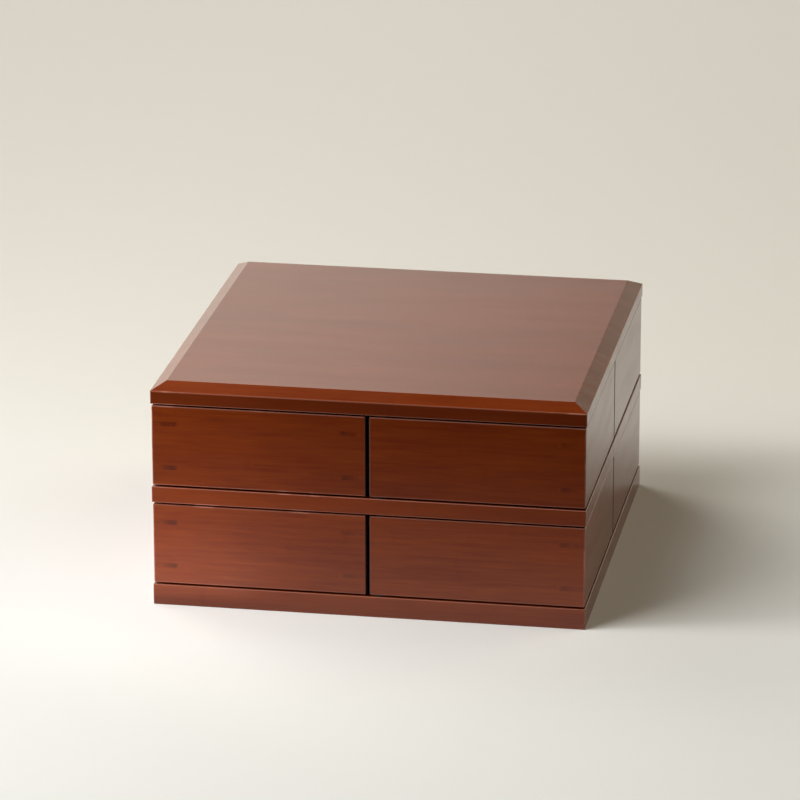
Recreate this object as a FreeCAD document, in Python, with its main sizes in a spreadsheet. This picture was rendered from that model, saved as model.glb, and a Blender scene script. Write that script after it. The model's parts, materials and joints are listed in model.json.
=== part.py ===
import FreeCAD, Part
import os
import Sketcher

# Rotating storage box: two tiers of four lidless boxes between three square plates.
# Each box swings out about a vertical rod near one end of its outer face, and the four
# rods stand in a pinwheel round the plates, so any box opens without the others.
# Millimetres. Origin: centre of the base plate's underside. +Z up, +X to the right of
# the front face, +Y away from the viewer.

SIZES = [
    ("plate_side", 210.0, "side of the lid, the middle plate and the base plate"),
    ("plate_edge_chamfer", 0.6, "easing of the plates' outer edges"),
    ("lid_thickness", 10.0, "lid board, underside to flat top"),
    ("lid_chamfer_width", 6.8, "lid chamfer, measured in from the side"),
    ("lid_chamfer_drop", 3.6, "lid chamfer, measured down from the top"),
    ("middle_thickness", 8.0, "middle plate board"),
    ("base_thickness", 10.3, "base plate board"),
    ("box_height", 40.0, "height of a box's walls"),
    ("box_recess", 0.4, "how far a box face stands back from the plates' edge"),
    ("seam_gap", 1.6, "gap between two neighbouring boxes"),
    ("box_edge_chamfer", 0.9, "easing of a box's outer edges"),
    ("rim_chamfer", 0.4, "easing of a box's inner top edge"),
    ("wall_thickness", 8.0, "box wall board"),
    ("floor_thickness", 4.0, "box floor panel and the groove that holds it"),
    ("floor_rise", 3.0, "floor's underside above the box's lower edge"),
    ("groove_depth", 3.0, "depth of the floor groove in a wall"),
    ("floor_play", 0.25, "room between the floor's edge and the groove's bottom"),
    ("key_leg", 13.0, "length of a corner key along each face"),
    ("key_thickness", 2.3, "corner key and its saw kerf"),
    ("key_inset", 9.0, "centre of a key from the box's upper or lower edge"),
    ("pivot_inset", 4.5, "rod axis in from the two faces of a box's pivot corner"),
    ("rod_diameter", 4.0, "pivot rod"),
    ("rod_play", 0.05, "radial room round the rod in every bore"),
    ("rod_engagement", 5.0, "length of rod inside its threaded insert"),
    ("head_diameter", 8.0, "countersunk head of a rod"),
    ("head_edge", 0.4, "straight rim of the rod's head"),
    ("head_height", 2.2, "cone of the rod's head"),
    ("head_sink", 0.3, "head below the base plate's underside"),
    ("socket_width", 2.5, "hexagon socket across flats"),
    ("socket_depth", 1.4, "depth of the hexagon socket"),
    ("washer_diameter", 8.4, "spacer washer on a rod"),
    ("washer_thickness", 0.8, "spacer washer that a box turns on"),
    ("washer_play", 0.1, "running room between a box and its washer"),
    ("headroom", 0.9, "air between a box's top edge and the plate above"),
    ("insert_diameter", 6.0, "threaded insert in the lid's underside"),
    ("insert_length", 5.5, "threaded insert, flush with the lid's underside"),
]

# Corners of the pinwheel, counter-clockwise from the front right one
CORNERS = ["front_right", "back_right", "back_left", "front_left"]
SIDES = ["front", "right", "back", "left"]
TIERS = ["lower", "upper"]

# Sizes that follow from the driving ones, as expressions
UNDER_BOX = "(sizes.washer_thickness + sizes.washer_play)"
BOX_REACH = "(sizes.plate_side / 2 - sizes.box_recess)"
BOX_SIDE = f"({BOX_REACH} - sizes.seam_gap / 2)"
BOX_MIDDLE = f"({BOX_SIDE} / 2 - sizes.pivot_inset)"
PIVOT_NEAR = "(sizes.seam_gap / 2 + sizes.pivot_inset)"
PIVOT_FAR = f"({BOX_REACH} - sizes.pivot_inset)"
BORE_DIAMETER = "(sizes.rod_diameter + 2 * sizes.rod_play)"
CAVITY_SIDE = f"({BOX_SIDE} - 2 * sizes.wall_thickness)"
GROOVE_SIDE = f"({CAVITY_SIDE} + 2 * sizes.groove_depth)"
FLOOR_SIDE = f"({GROOVE_SIDE} - 2 * sizes.floor_play)"

# Heights above the table
LOWER_BOX = f"(sizes.base_thickness + {UNDER_BOX})"
MIDDLE_PLATE = f"({LOWER_BOX} + sizes.box_height + sizes.headroom)"
UPPER_BOX = f"({MIDDLE_PLATE} + sizes.middle_thickness + {UNDER_BOX})"
LID = f"({UPPER_BOX} + sizes.box_height + sizes.headroom)"
BOX_LEVEL = {"lower": LOWER_BOX, "upper": UPPER_BOX}

# Rod axes of the pinwheel: the same point turned by quarter turns, as (x, y)
PIVOTS = [
    (PIVOT_NEAR, f"-{PIVOT_FAR}"),
    (PIVOT_FAR, PIVOT_NEAR),
    (f"-{PIVOT_NEAR}", PIVOT_FAR),
    (f"-{PIVOT_FAR}", f"-{PIVOT_NEAR}"),
]

document = FreeCAD.newDocument("rotating_storage_box")
sheet = document.addObject("Spreadsheet::Sheet", "sizes")
for row, (alias, value, meaning) in enumerate(SIZES, start=1):
    sheet.set(f"A{row}", alias)
    sheet.set(f"B{row}", str(value))
    sheet.setAlias(f"B{row}", alias)
    sheet.set(f"C{row}", meaning)
document.recompute()

sub_parts = []


def bind(target, values):
    """Ties an object's properties to expressions in the sheet's sizes."""
    for name, expression in values.items():
        target.setExpression(name, expression)


def place(target, x, y, z, turn=0.0):
    """Stands an object at expressions for its position, turned about the vertical."""
    target.Placement = FreeCAD.Placement(
        FreeCAD.Vector(), FreeCAD.Rotation(FreeCAD.Vector(0, 0, 1), turn)
    )
    bind(target, {"Placement.Base.x": x, "Placement.Base.y": y, "Placement.Base.z": z})


def keep(target, label):
    """Counts an object as one sub-part, under the name of its file."""
    target.Label = label
    sub_parts.append(target)
    return target


def origin_feature(body, role):
    return next(f for f in body.Origin.OriginFeatures if f.Role == role)


def new_sketch(body, name, plane="XY_Plane", offset=None):
    """A sketch on one of the body's own origin planes, its origin moved by offset."""
    sketch = body.newObject("Sketcher::SketchObject", name)
    sketch.AttachmentSupport = (origin_feature(body, plane), [""])
    sketch.MapMode = "FlatFace"
    for axis, expression in zip("xyz", offset or ()):
        sketch.setExpression(f"AttachmentOffset.Base.{axis}", expression)
    return sketch


def fix_size(sketch, name, expression, kind, *where):
    """One named dimension of a sketch, tied to an expression."""
    index = sketch.addConstraint(Sketcher.Constraint(kind, *where))
    sketch.renameConstraint(index, name)
    sketch.setExpression(f"Constraints.{name}", expression)


def draw_outline(sketch, points):
    """Straight lines through the points, closed, each corner joined to the next."""
    lines = []
    for start, end in zip(points, points[1:] + points[:1]):
        line = Part.LineSegment(FreeCAD.Vector(*start, 0), FreeCAD.Vector(*end, 0))
        lines.append(sketch.addGeometry(line))
    for line, following in zip(lines, lines[1:] + lines[:1]):
        sketch.addConstraint(Sketcher.Constraint("Coincident", line, 2, following, 1))
    return lines


def draw_square(sketch, before_origin, side):
    """A square whose low corner lies before_origin short of the sketch's origin."""
    bottom, right, top, left = draw_outline(sketch, [(-1, -1), (2, -1), (2, 2), (-1, 2)])
    for line in (bottom, top):
        sketch.addConstraint(Sketcher.Constraint("Horizontal", line))
    for line in (right, left):
        sketch.addConstraint(Sketcher.Constraint("Vertical", line))
    fix_size(sketch, "width", side, "DistanceX", bottom, 1, bottom, 2, 3.0)
    fix_size(sketch, "depth", side, "DistanceY", right, 1, right, 2, 3.0)
    fix_size(sketch, "left_edge", before_origin, "DistanceX", bottom, 1, -1, 1, 1.0)
    fix_size(sketch, "front_edge", before_origin, "DistanceY", bottom, 1, -1, 1, 1.0)


def draw_circle(sketch, name, x, y, diameter):
    """A circle centred on expressions, which may start with a minus sign."""
    at = [-10.0 if e.startswith("-") else 10.0 for e in (x, y)]
    circle = sketch.addGeometry(Part.Circle(FreeCAD.Vector(*at, 0), FreeCAD.Vector(0, 0, 1), 1.0))
    for kind, letter, expression in (("DistanceX", "x", x), ("DistanceY", "y", y)):
        ends = (circle, 3, -1, 1) if expression.startswith("-") else (-1, 1, circle, 3)
        fix_size(sketch, name + letter, expression.lstrip("-"), kind, *ends, 10.0)
    fix_size(sketch, name + "diameter", diameter, "Diameter", circle, 2.0)


def pad(body, sketch, length):
    feature = body.newObject("PartDesign::Pad", sketch.Name + "_pad")
    feature.Profile = sketch
    feature.setExpression("Length", length)
    document.recompute()
    return feature


def pocket(body, sketch, length=None):
    """Cuts upwards from the sketch: by an expression, or through everything."""
    before = body.Shape.Volume
    feature = body.newObject("PartDesign::Pocket", sketch.Name + "_pocket")
    feature.Profile = sketch
    feature.Reversed = True
    if length is None:
        feature.Type = "ThroughAll"
    else:
        feature.setExpression("Length", length)
    document.recompute()
    if not body.Shape.Volume < before:
        raise RuntimeError(f"{feature.Name} cuts nothing")
    return feature


def chamfer_edges(body, name, wanted, size, second_size=None):
    """Chamfers the edges of the body that the test picks out."""
    base = body.Tip
    edges = enumerate(base.Shape.Edges, start=1)
    picked = [f"Edge{number}" for number, edge in edges if wanted(edge)]
    feature = body.newObject("PartDesign::Chamfer", name)
    feature.Base = (base, picked)
    feature.setExpression("Size", size)
    if second_size:
        feature.ChamferType = "Two distances"
        feature.setExpression("Size2", second_size)
    document.recompute()
    return feature


def every_edge(edge):
    return True


def quarter_turns(body, original):
    """Repeats a cut at all four rods."""
    pattern = body.newObject("PartDesign::PolarPattern", original.Name + "_at_four_rods")
    pattern.Originals = [original]
    pattern.Axis = (origin_feature(body, "Z_Axis"), [""])
    pattern.Angle = 360
    pattern.Occurrences = 4
    body.Tip = pattern
    document.recompute()


def is_level(edge, height):
    """Whether both ends of an edge lie at one height."""
    return all(abs(vertex.Z - height) < 1e-6 for vertex in edge.Vertexes)


def is_upright(edge):
    """Whether an edge is a vertical line."""
    low, high = edge.Vertexes[0], edge.Vertexes[-1]
    return abs(low.X - high.X) < 1e-6 and abs(low.Y - high.Y) < 1e-6


def new_plate(label, thickness, level):
    """A square board, its underside at its own z = 0."""
    body = document.addObject("PartDesign::Body", label)
    outline = new_sketch(body, label + "_outline")
    draw_square(outline, "sizes.plate_side / 2", "sizes.plate_side")
    pad(body, outline, thickness)
    place(body, "0", "0", level)
    return keep(body, label)


def make_lid():
    """The lid board: chamfered all round, with a blind hole for each insert."""
    lid = new_plate("lid", "sizes.lid_thickness", LID)
    top = sheet.lid_thickness
    foot = top - sheet.lid_chamfer_drop
    chamfer = chamfer_edges(
        lid, "lid_chamfer", lambda edge: is_level(edge, top),
        "sizes.lid_chamfer_drop", "sizes.lid_chamfer_width",
    )
    if not any(is_level(edge, foot) for edge in chamfer.Shape.Edges):
        chamfer.FlipDirection = True
        document.recompute()
    chamfer_edges(
        lid, "lid_edges", lambda edge: is_upright(edge) or is_level(edge, 0),
        "sizes.plate_edge_chamfer",
    )
    hole = new_sketch(lid, "insert_hole")
    draw_circle(hole, "hole", *PIVOTS[0], "sizes.insert_diameter")
    quarter_turns(lid, pocket(lid, hole, "sizes.insert_length"))


def make_middle_plate():
    """The middle plate: eased edges and a plain bore for each rod."""
    plate = new_plate("middle_plate", "sizes.middle_thickness", MIDDLE_PLATE)
    chamfer_edges(plate, plate.Label + "_edges", every_edge, "sizes.plate_edge_chamfer")
    bore = new_sketch(plate, "middle_bore")
    draw_circle(bore, "bore", *PIVOTS[0], BORE_DIAMETER)
    quarter_turns(plate, pocket(plate, bore))


def draw_rod_profile(sketch, room, bottom, top):
    """Half of a rod's profile beside the sketch's upright axis, with room all round it."""
    points = [(0, 0), (4, 0), (4, 1), (2, 3), (2, 9), (0, 9)]
    underside, collar, cone, shank, end, axis = draw_outline(sketch, points)
    for line in (underside, end):
        sketch.addConstraint(Sketcher.Constraint("Horizontal", line))
    for line in (collar, shank):
        sketch.addConstraint(Sketcher.Constraint("Vertical", line))
    sketch.addConstraint(Sketcher.Constraint("PointOnObject", axis, 1, -2))
    sketch.addConstraint(Sketcher.Constraint("PointOnObject", axis, 2, -2))
    head = f"sizes.head_diameter / 2 + {room}"
    shaft = f"sizes.rod_diameter / 2 + {room}"
    rim = "sizes.head_sink + sizes.head_edge"
    fix_size(sketch, "bottom", bottom, "DistanceY", -1, 1, axis, 2, 0.0)
    fix_size(sketch, "rim", rim, "DistanceY", -1, 1, collar, 2, 1.0)
    fix_size(sketch, "cone", "sizes.head_height", "DistanceY", cone, 1, cone, 2, 2.0)
    fix_size(sketch, "top", top, "DistanceY", -1, 1, axis, 1, 9.0)
    fix_size(sketch, "head", head, "DistanceX", -1, 1, collar, 1, 4.0)
    fix_size(sketch, "shank", shaft, "DistanceX", -1, 1, shank, 1, 2.0)


def turn_profile(body, kind, sketch):
    """Turns a profile about its own upright axis, as a solid or as a cut."""
    feature = body.newObject("PartDesign::" + kind, sketch.Name + "_turned")
    feature.Profile = sketch
    feature.ReferenceAxis = (sketch, ["V_Axis"])
    feature.Angle = 360
    document.recompute()
    return feature


def make_base_plate():
    """The base plate: eased edges and a countersunk bore for each rod."""
    plate = new_plate("base_plate", "sizes.base_thickness", "0")
    chamfer_edges(plate, plate.Label + "_edges", every_edge, "sizes.plate_edge_chamfer")
    seat = new_sketch(plate, "rod_seat", "XZ_Plane", (PIVOT_NEAR, "0", PIVOT_FAR))
    draw_rod_profile(seat, "sizes.rod_play", "0", "sizes.base_thickness")
    before = plate.Shape.Volume
    cut = turn_profile(plate, "Groove", seat)
    if not plate.Shape.Volume < before:
        raise RuntimeError("the rod seat cuts nothing")
    quarter_turns(plate, cut)


def make_rod(corner, x, y):
    """One pivot rod: countersunk head below the base, threaded end in the lid."""
    rod = document.addObject("PartDesign::Body", corner + "_rod")
    profile = new_sketch(rod, corner + "_rod_profile", "XZ_Plane")
    draw_rod_profile(profile, "0", "sizes.head_sink", f"{LID} + sizes.rod_engagement")
    turn_profile(rod, "Revolution", profile)
    socket = new_sketch(rod, corner + "_rod_socket", "XY_Plane", ("0", "0", "sizes.head_sink"))
    draw_hexagon(socket, "sizes.socket_width")
    pocket(rod, socket, "sizes.socket_depth")
    place(rod, x, y, "0")
    keep(rod, corner + "_pivot_rod")


def draw_hexagon(sketch, across_flats):
    """A regular hexagon round the sketch's origin, one side along its own x axis."""
    directions = [(2, 0), (1, 2), (-1, 2), (-2, 0), (-1, -2), (1, -2)]
    sides = draw_outline(sketch, directions)
    circle = sketch.addGeometry(
        Part.Circle(FreeCAD.Vector(), FreeCAD.Vector(0, 0, 1), 2.0), True
    )
    sketch.addConstraint(Sketcher.Constraint("Coincident", circle, 3, -1, 1))
    for side, following in zip(sides, sides[1:] + sides[:1]):
        sketch.addConstraint(Sketcher.Constraint("PointOnObject", side, 1, circle))
        if following != sides[0]:
            sketch.addConstraint(Sketcher.Constraint("Equal", side, following))
    sketch.addConstraint(Sketcher.Constraint("Horizontal", sides[1]))
    fix_size(sketch, "corners", f"{across_flats} / cos(30)", "Diameter", circle, 4.0)


def rings_at_rods(name, outer, inner):
    """A sketch of two circles round each rod."""
    sketch = document.addObject("Sketcher::SketchObject", name)
    for corner, (x, y) in zip(CORNERS, PIVOTS):
        draw_circle(sketch, corner + "_outer_", x, y, outer)
        draw_circle(sketch, corner + "_inner_", x, y, inner)
    return sketch


def extrude(name, sketch, length, level):
    """A solid from each closed ring of a sketch, standing on a level."""
    solid = document.addObject("Part::Extrusion", name)
    solid.Base = sketch
    solid.DirMode = "Normal"
    solid.Solid = True
    solid.setExpression("LengthFwd", length)
    place(solid, "0", "0", level)
    return solid


def make_hardware():
    """Four rods, a washer under each box on its rod, and the lid's inserts."""
    for corner, (x, y) in zip(CORNERS, PIVOTS):
        make_rod(corner, x, y)
    rings = rings_at_rods("washer_rings", "sizes.washer_diameter", BORE_DIAMETER)
    levels = {
        "on_base": "sizes.base_thickness",
        "on_middle_plate": f"{MIDDLE_PLATE} + sizes.middle_thickness",
    }
    washers = document.addObject("Part::Compound", "washers")
    washers.Links = [
        extrude("washers_" + where, rings, "sizes.washer_thickness", level)
        for where, level in levels.items()
    ]
    keep(washers, "spacer_washers")
    sleeves = rings_at_rods("insert_rings", "sizes.insert_diameter", BORE_DIAMETER)
    keep(extrude("inserts", sleeves, "sizes.insert_length", LID), "threaded_inserts")


def box_sketch(body, name, side, height="0"):
    """A square about the middle of a box, seen from above."""
    sketch = new_sketch(body, name, "XY_Plane", (BOX_MIDDLE, BOX_MIDDLE, height))
    draw_square(sketch, f"{side} / 2", side)
    return sketch


def make_glued_ring():
    """The four walls of a box as one, as they are once glued and eased.

    Its own origin lies on the rod's axis at the walls' lower edge. The outer faces of
    its pivot corner stand one pivot inset to the left of that axis and in front of it."""
    ring = document.addObject("PartDesign::Body", "glued_ring")
    pad(ring, box_sketch(ring, "ring_outline", BOX_SIDE), "sizes.box_height")
    chamfer_edges(ring, "ring_edges", every_edge, "sizes.box_edge_chamfer")
    cavity = box_sketch(ring, "ring_cavity", CAVITY_SIDE)
    pocket(ring, cavity)
    longest = cavity.getDatum("width").Value + 1e-6
    chamfer_edges(
        ring, "ring_rim",
        lambda edge: is_level(edge, sheet.box_height) and edge.Length < longest,
        "sizes.rim_chamfer",
    )
    groove = box_sketch(ring, "ring_groove", GROOVE_SIDE, "sizes.floor_rise")
    pocket(ring, groove, "sizes.floor_thickness")
    return ring


def new_block(name, side, height, x, y, z, turn=0.0):
    """A square block, used to cut with."""
    block = document.addObject("Part::Box", name)
    bind(block, {"Length": side, "Width": side, "Height": height})
    place(block, x, y, z, turn)
    return block


def combine(kind, name, base, tool):
    result = document.addObject("Part::" + kind, name)
    result.Base = base
    result.Tool = tool
    return result


def fuse(name, shapes):
    result = document.addObject("Part::MultiFuse", name)
    result.Shapes = shapes
    return result


def make_key_kerfs():
    """Saw kerfs across three corners, all but the one that turns on the rod.

    Two thin layers less a square set cornerwise: each kerf runs at 45 degrees to the
    faces, one key leg from the corner along both."""
    outside = f"{BOX_MIDDLE} - {BOX_SIDE}"
    layers = fuse("key_layers", [
        new_block(name, f"2 * {BOX_SIDE}", "sizes.key_thickness",
                  outside, outside, f"{centre} - sizes.key_thickness / 2")
        for name, centre in (
            ("lower_key_layer", "sizes.key_inset"),
            ("upper_key_layer", "sizes.box_height - sizes.key_inset"),
        )
    ])
    between = f"({BOX_SIDE} - sizes.key_leg)"
    below = "-sizes.box_height / 2"
    whole = fuse("left_whole", [
        new_block("between_kerfs", f"{between} * sqrt(2)", "2 * sizes.box_height",
                  BOX_MIDDLE, f"{BOX_MIDDLE} - {between}", below, 45),
        new_block("pivot_quarter", BOX_SIDE, "2 * sizes.box_height", outside, outside, below),
    ])
    return combine("Cut", "key_kerfs", layers, whole)


def make_rod_bore():
    """The hole drilled for the rod once walls and floor are glued together."""
    bore = document.addObject("Part::Cylinder", "rod_bore")
    bind(bore, {"Radius": f"{BORE_DIAMETER} / 2", "Height": "2 * sizes.box_height"})
    place(bore, "0", "0", "-sizes.box_height / 2")
    return bore


def make_box_pieces():
    """The pieces of one box about its own rod: mitred walls, corner keys and floor."""
    ring = make_glued_ring()
    kerfs = make_key_kerfs()
    bore = make_rod_bore()
    openings = fuse("kerfs_and_bore", [kerfs, bore])
    cut_ring = combine("Cut", "cut_ring", ring, openings)
    walls = []
    for index, side in enumerate(SIDES):
        # A block with one corner at the box's middle holds what lies between two mitres
        sector = new_block(side + "_sector", BOX_SIDE, "2 * sizes.box_height",
                           BOX_MIDDLE, BOX_MIDDLE, "-sizes.box_height / 2", 90 * index - 135)
        walls.append(combine("Common", side + "_wall", cut_ring, sector))
    keys = combine("Common", "corner_keys", ring, kerfs)
    panel = document.addObject("PartDesign::Body", "floor_panel")
    outline = box_sketch(panel, "floor_outline", FLOOR_SIDE, "sizes.floor_rise")
    pad(panel, outline, "sizes.floor_thickness")
    return walls, keys, combine("Cut", "bored_floor", panel, bore)


def make_boxes():
    """Eight boxes alike, each turned with its corner of the pinwheel."""
    walls, keys, floor = make_box_pieces()
    for tier in TIERS:
        for quarter, (corner, (x, y)) in enumerate(zip(CORNERS, PIVOTS)):
            pieces = {
                SIDES[(index + quarter) % len(SIDES)] + "_wall": wall
                for index, wall in enumerate(walls)
            }
            pieces.update(corner_keys=keys, floor=floor)
            for name, piece in pieces.items():
                repeat = document.addObject("Part::Compound", f"{tier}_{corner}_{name}")
                repeat.Links = [piece]
                place(repeat, x, y, BOX_LEVEL[tier], 90 * quarter)
                keep(repeat, f"{tier}_{corner}_box_{name}")


def check_and_write():
    """Stops on any failed object or sub-part, and only then writes the STEP files."""
    document.recompute()
    failed = [o.Name for o in document.Objects if {"Invalid", "Error"} & set(o.State)]
    for part in sub_parts:
        if part.Shape.isNull() or not part.Shape.isValid() or not part.Shape.Solids:
            failed.append(part.Label)
    if failed:
        raise RuntimeError(f"not built: {failed}")
    os.makedirs("parts", exist_ok=True)
    for part in sub_parts:
        part.Shape.exportStep(os.path.join("parts", part.Label + ".step"))
    solids = sum(len(part.Shape.Solids) for part in sub_parts)
    print(f"{len(sub_parts)} sub-parts, {solids} solids")


make_lid()
make_middle_plate()
make_base_plate()
make_hardware()
make_boxes()
check_and_write()
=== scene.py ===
"""Dresses the rotating storage box: eased and lacquered bamboo boards, corner keys,
floor panels and the hardware of its rods, on a pale floor in a softly lit room."""
import json
import math
import random
from typing import NamedTuple

import bmesh
import bpy
from mathutils import Matrix, Vector


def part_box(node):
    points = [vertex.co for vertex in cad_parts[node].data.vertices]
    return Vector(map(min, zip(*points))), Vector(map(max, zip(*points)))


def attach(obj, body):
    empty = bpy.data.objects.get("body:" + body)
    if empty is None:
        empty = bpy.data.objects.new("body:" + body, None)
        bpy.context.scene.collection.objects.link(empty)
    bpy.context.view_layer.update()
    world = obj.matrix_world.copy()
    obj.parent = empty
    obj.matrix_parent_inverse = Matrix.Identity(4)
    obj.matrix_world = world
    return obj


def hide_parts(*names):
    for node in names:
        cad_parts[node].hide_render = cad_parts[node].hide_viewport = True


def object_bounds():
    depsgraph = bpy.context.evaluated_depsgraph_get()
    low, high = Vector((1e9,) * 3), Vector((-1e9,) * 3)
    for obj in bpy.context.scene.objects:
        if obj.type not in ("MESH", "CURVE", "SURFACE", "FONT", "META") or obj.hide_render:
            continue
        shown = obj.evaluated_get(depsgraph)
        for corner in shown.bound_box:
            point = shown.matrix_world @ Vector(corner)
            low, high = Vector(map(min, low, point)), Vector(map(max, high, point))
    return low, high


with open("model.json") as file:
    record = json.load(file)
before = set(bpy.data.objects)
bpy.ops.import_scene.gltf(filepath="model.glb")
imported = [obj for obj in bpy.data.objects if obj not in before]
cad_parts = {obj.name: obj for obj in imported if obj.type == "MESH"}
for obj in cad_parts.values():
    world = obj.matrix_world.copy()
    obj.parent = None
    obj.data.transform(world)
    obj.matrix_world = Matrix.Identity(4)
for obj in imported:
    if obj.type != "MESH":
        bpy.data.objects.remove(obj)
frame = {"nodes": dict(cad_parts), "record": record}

bl_info = {
    "name": "Rotating Storage Box",
    "version": (1, 0, 0),
    "blender": (4, 5, 0),
    "location": "View3D > Sidebar > Rotating Box",
    "description": "Lacquered bamboo boards, corner keys and rod hardware for a rotating storage box",
    "category": "Object",
}

CAD_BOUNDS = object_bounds()
MM = 0.001

CORNERS = ("front_right", "back_right", "back_left", "front_left")
SIDES = ("front", "right", "back", "left")
TIERS = ("lower", "upper")
BOXES = [f"{tier}_{corner}_box" for tier in TIERS for corner in CORNERS]
BODY_OF = {
    node: body
    for body, nodes in frame["record"]["behaviour"]["bodies"].items()
    for node in nodes
}

MERGED_WITHIN = 0.002 * MM
SNAPPED_WITHIN = 0.02 * MM
NO_AREA = 1e-6 * MM * MM
FLAT_WITHIN = math.radians(0.5)
SHARP_FROM = math.radians(30)
RING_SHARP_FROM = math.radians(50)
# Where cuts beside an arris lie, as shares of its radius, for even steps of the round
ARRIS_CUTS = (0.332, 0.586, 0.801, 1.0)
# Each board lies a whole number of steps away in the endless bamboo pattern
OFFSET_STEP = 40.0 * MM
MOST_STEPS = 400
DRAW_SEED = 7
# How far from an arris a board's sanding and painted highlight reach, and how clearly a plate's fibres show
BOX_EDGE_REACH = 0.85 * MM
PLATE_EDGE_REACH = 0.6 * MM
PLATE_FIBRES = 0.55
BOX_FIBRES = 0.9
LACQUER_IOR = 1.52
NO_BEVEL = -1.0
ROD_SIDES = 48
THREAD_STEPS = 8
WASHER_STEPS = 64
RIDGE_STEPS = 6
ROOM_GROUND = (0.01, 0.01, 0.009)
FLOOR_RADIUS = 9.0
# The floor lies a trace lower than the base plate's underside, so that the two don't flicker
FLOOR_DROP = 0.02 * MM
# Painted shade: the floor's colour at the right, as a share of its colour at the left, darker as the light
# falls off from the left
FLOOR_SHADE_AT_RIGHT = (0.89, 0.885, 0.87)
FLOOR_IN_SHADE = (0.01, 0.009, 0.008)


def box_span(box):
    """Lowest and highest corner of one of the eight boxes."""
    lows, highs = zip(*(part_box(f"{box}_{side}_wall") for side in SIDES))
    low = Vector(min(corner[axis] for corner in lows) for axis in range(3))
    high = Vector(max(corner[axis] for corner in highs) for axis in range(3))
    return low, high


def rod_axis(corner):
    """Place of a corner's rod on the floor, and the heights of its two ends."""
    low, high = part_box(f"{corner}_pivot_rod")
    middle = (low + high) / 2
    return Vector((middle.x, middle.y, 0)), low.z, high.z


class BoxSizes(bpy.types.PropertyGroup):
    """Sizes that the frame leaves to the finished surface."""

    box_chamfer: bpy.props.FloatProperty(
        name="Box chamfer", description="Chamfer that stands for a box's rounded edges in the frame",
        default=0.9 * MM, min=0.1 * MM, unit="LENGTH", precision=5)
    plate_chamfer: bpy.props.FloatProperty(
        name="Plate chamfer", description="Chamfer that stands for a plate's rounded edges in the frame",
        default=0.6 * MM, min=0.1 * MM, unit="LENGTH", precision=5)
    box_edge_radius: bpy.props.FloatProperty(
        name="Box edge", description="Radius of a box's outer edges",
        default=0.55 * MM, min=0.05 * MM, unit="LENGTH", precision=5)
    plate_edge_radius: bpy.props.FloatProperty(
        name="Plate edge", description="Radius of a plate's outer edges",
        default=0.45 * MM, min=0.05 * MM, unit="LENGTH", precision=5)
    bevel_drop: bpy.props.FloatProperty(
        name="Lid bevel", description="Height of the bevel round the lid's top",
        default=3.6 * MM, min=0.5 * MM, unit="LENGTH")
    lid_fold_easing: bpy.props.FloatProperty(
        name="Lid fold", description="How far the lid's folds are sanded back on each side",
        default=0.4 * MM, min=0.05 * MM, unit="LENGTH", precision=5)
    strip_width: bpy.props.FloatProperty(
        name="Bamboo strip", description="Width of one bamboo strip in a glued board",
        default=6.2 * MM, min=1 * MM, unit="LENGTH")
    panel_strip_width: bpy.props.FloatProperty(
        name="Panel strip", description="Width of one bamboo strip in a box's floor panel",
        default=9 * MM, min=1 * MM, unit="LENGTH")
    key_leg: bpy.props.FloatProperty(
        name="Key length", description="Length of a corner key along each face",
        default=13 * MM, min=1 * MM, unit="LENGTH")
    ring_bore: bpy.props.FloatProperty(
        name="Ring bore", description="Bore of the washers and the threaded inserts, across",
        default=4.1 * MM, min=1 * MM, unit="LENGTH", precision=5)
    washer_edge: bpy.props.FloatProperty(
        name="Washer edge", description="Rounding of a washer's edges",
        default=0.15 * MM, min=0.01 * MM, unit="LENGTH", precision=5)
    thread_pitch: bpy.props.FloatProperty(
        name="Thread pitch", description="Pitch of the thread at a rod's upper end",
        default=0.7 * MM, min=0.2 * MM, unit="LENGTH", precision=5)
    thread_depth: bpy.props.FloatProperty(
        name="Thread depth", description="Depth of the thread at a rod's upper end",
        default=0.4 * MM, min=0.05 * MM, unit="LENGTH", precision=5)
    socket_width: bpy.props.FloatProperty(
        name="Socket", description="Hexagon socket of a rod's head, across flats",
        default=2.5 * MM, min=0.5 * MM, unit="LENGTH")
    socket_depth: bpy.props.FloatProperty(
        name="Socket depth", description="Depth of the hexagon socket",
        default=1.4 * MM, min=0.2 * MM, unit="LENGTH")
    insert_ridges: bpy.props.IntProperty(
        name="Insert ridges", description="Ridges round a threaded insert", default=26, min=6)
    insert_ridge_depth: bpy.props.FloatProperty(
        name="Ridge depth", description="Depth of the grooves between an insert's ridges",
        default=0.15 * MM, min=0.01 * MM, unit="LENGTH", precision=5)
    insert_edge: bpy.props.FloatProperty(
        name="Insert edge", description="Rounding of an insert's edges",
        default=0.2 * MM, min=0.01 * MM, unit="LENGTH", precision=5)


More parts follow.
